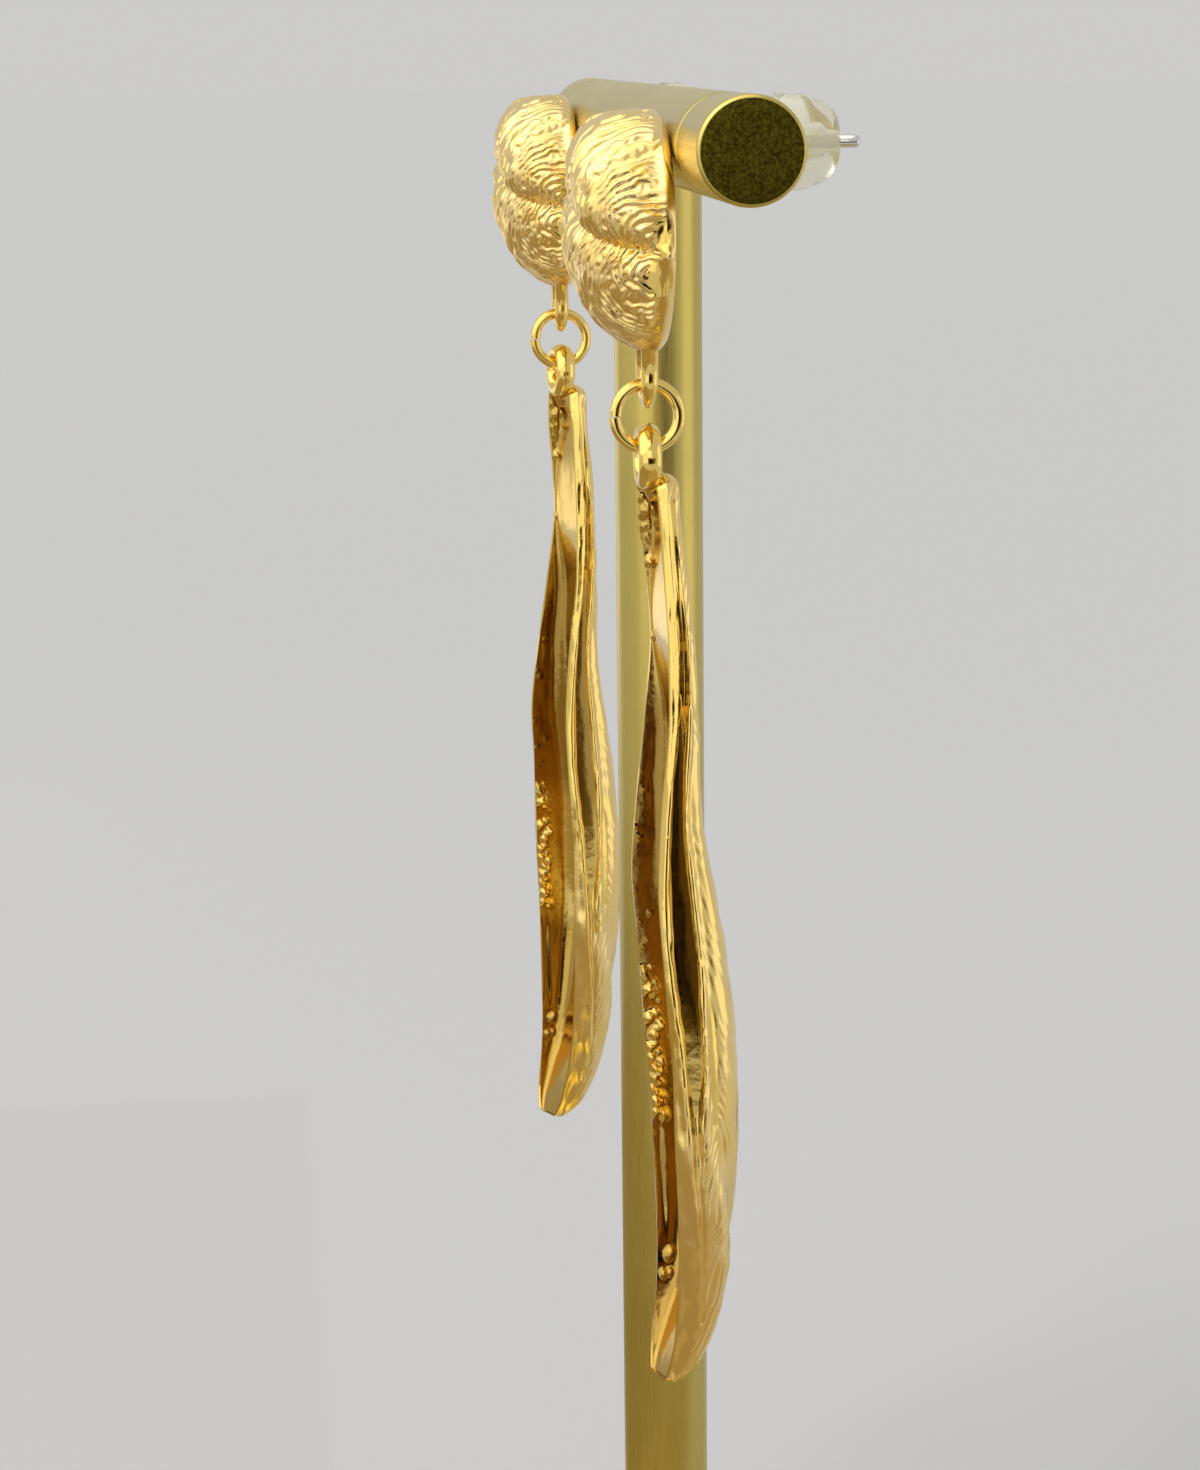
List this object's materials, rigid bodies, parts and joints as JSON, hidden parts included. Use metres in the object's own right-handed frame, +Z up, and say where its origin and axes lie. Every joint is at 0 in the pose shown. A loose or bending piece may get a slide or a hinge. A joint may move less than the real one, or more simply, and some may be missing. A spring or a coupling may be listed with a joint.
{
  "type": "pair of dangle earrings on a t-bar stand",
  "caption": "Long gold dangle earrings with textured domed studs and hollow-backed leaf drops, pinned through the bar of a T-shaped display stand.",
  "frame": {"origin": "middle of the base's underside", "axes": "+X along the bar towards the right earring, +Y from the stud fronts towards the ear post tips, +Z up"},
  "size_m": [0.089, 0.06, 0.1293],
  "materials": {
    "stand_satin_gold": "satin gold plating, finely brushed",
    "earring_satin_gold": "ridged satin gold plating",
    "earring_polished_gold": "polished gold plating",
    "post_silver": "polished silver colour",
    "clutch_silicone": "clear soft silicone"
  },
  "bodies": {
    "stand": {"stand_base": "stand_satin_gold", "stand_pole": "stand_satin_gold", "stand_bar": "stand_satin_gold", "stand_cap_right": "stand_satin_gold", "stand_cap_left": "stand_satin_gold", "right_stud": "earring_satin_gold", "right_ear_post": "post_silver", "right_clutch": "clutch_silicone", "left_stud": "earring_satin_gold", "left_ear_post": "post_silver", "left_clutch": "clutch_silicone"},
    "right_ring": {"right_jump_ring": "earring_polished_gold"},
    "right_pendant": {"right_drop": "earring_polished_gold"},
    "left_ring": {"left_jump_ring": "earring_polished_gold"},
    "left_pendant": {"left_drop": "earring_polished_gold"}
  },
  "joints": [
    {"name": "right_ring_swing", "type": "hinge", "parent": "stand", "child": "right_ring", "pos_m": [0.0285, -0.00435, 0.1099], "axis": [1, 0, 0], "range_deg": [-70, 70]},
    {"name": "right_drop_sway", "type": "hinge", "parent": "right_ring", "child": "right_pendant", "pos_m": [0.0285, -0.00435, 0.10675], "axis": [0, 1, 0], "range_deg": [-40, 20]},
    {"name": "left_ring_swing", "type": "hinge", "parent": "stand", "child": "left_ring", "pos_m": [-0.0285, -0.00435, 0.1099], "axis": [1, 0, 0], "range_deg": [-70, 70]},
    {"name": "left_drop_sway", "type": "hinge", "parent": "left_ring", "child": "left_pendant", "pos_m": [-0.0285, -0.00435, 0.10675], "axis": [-0.1736, 0.9848, 0], "range_deg": [-20, 40]}
  ]
}
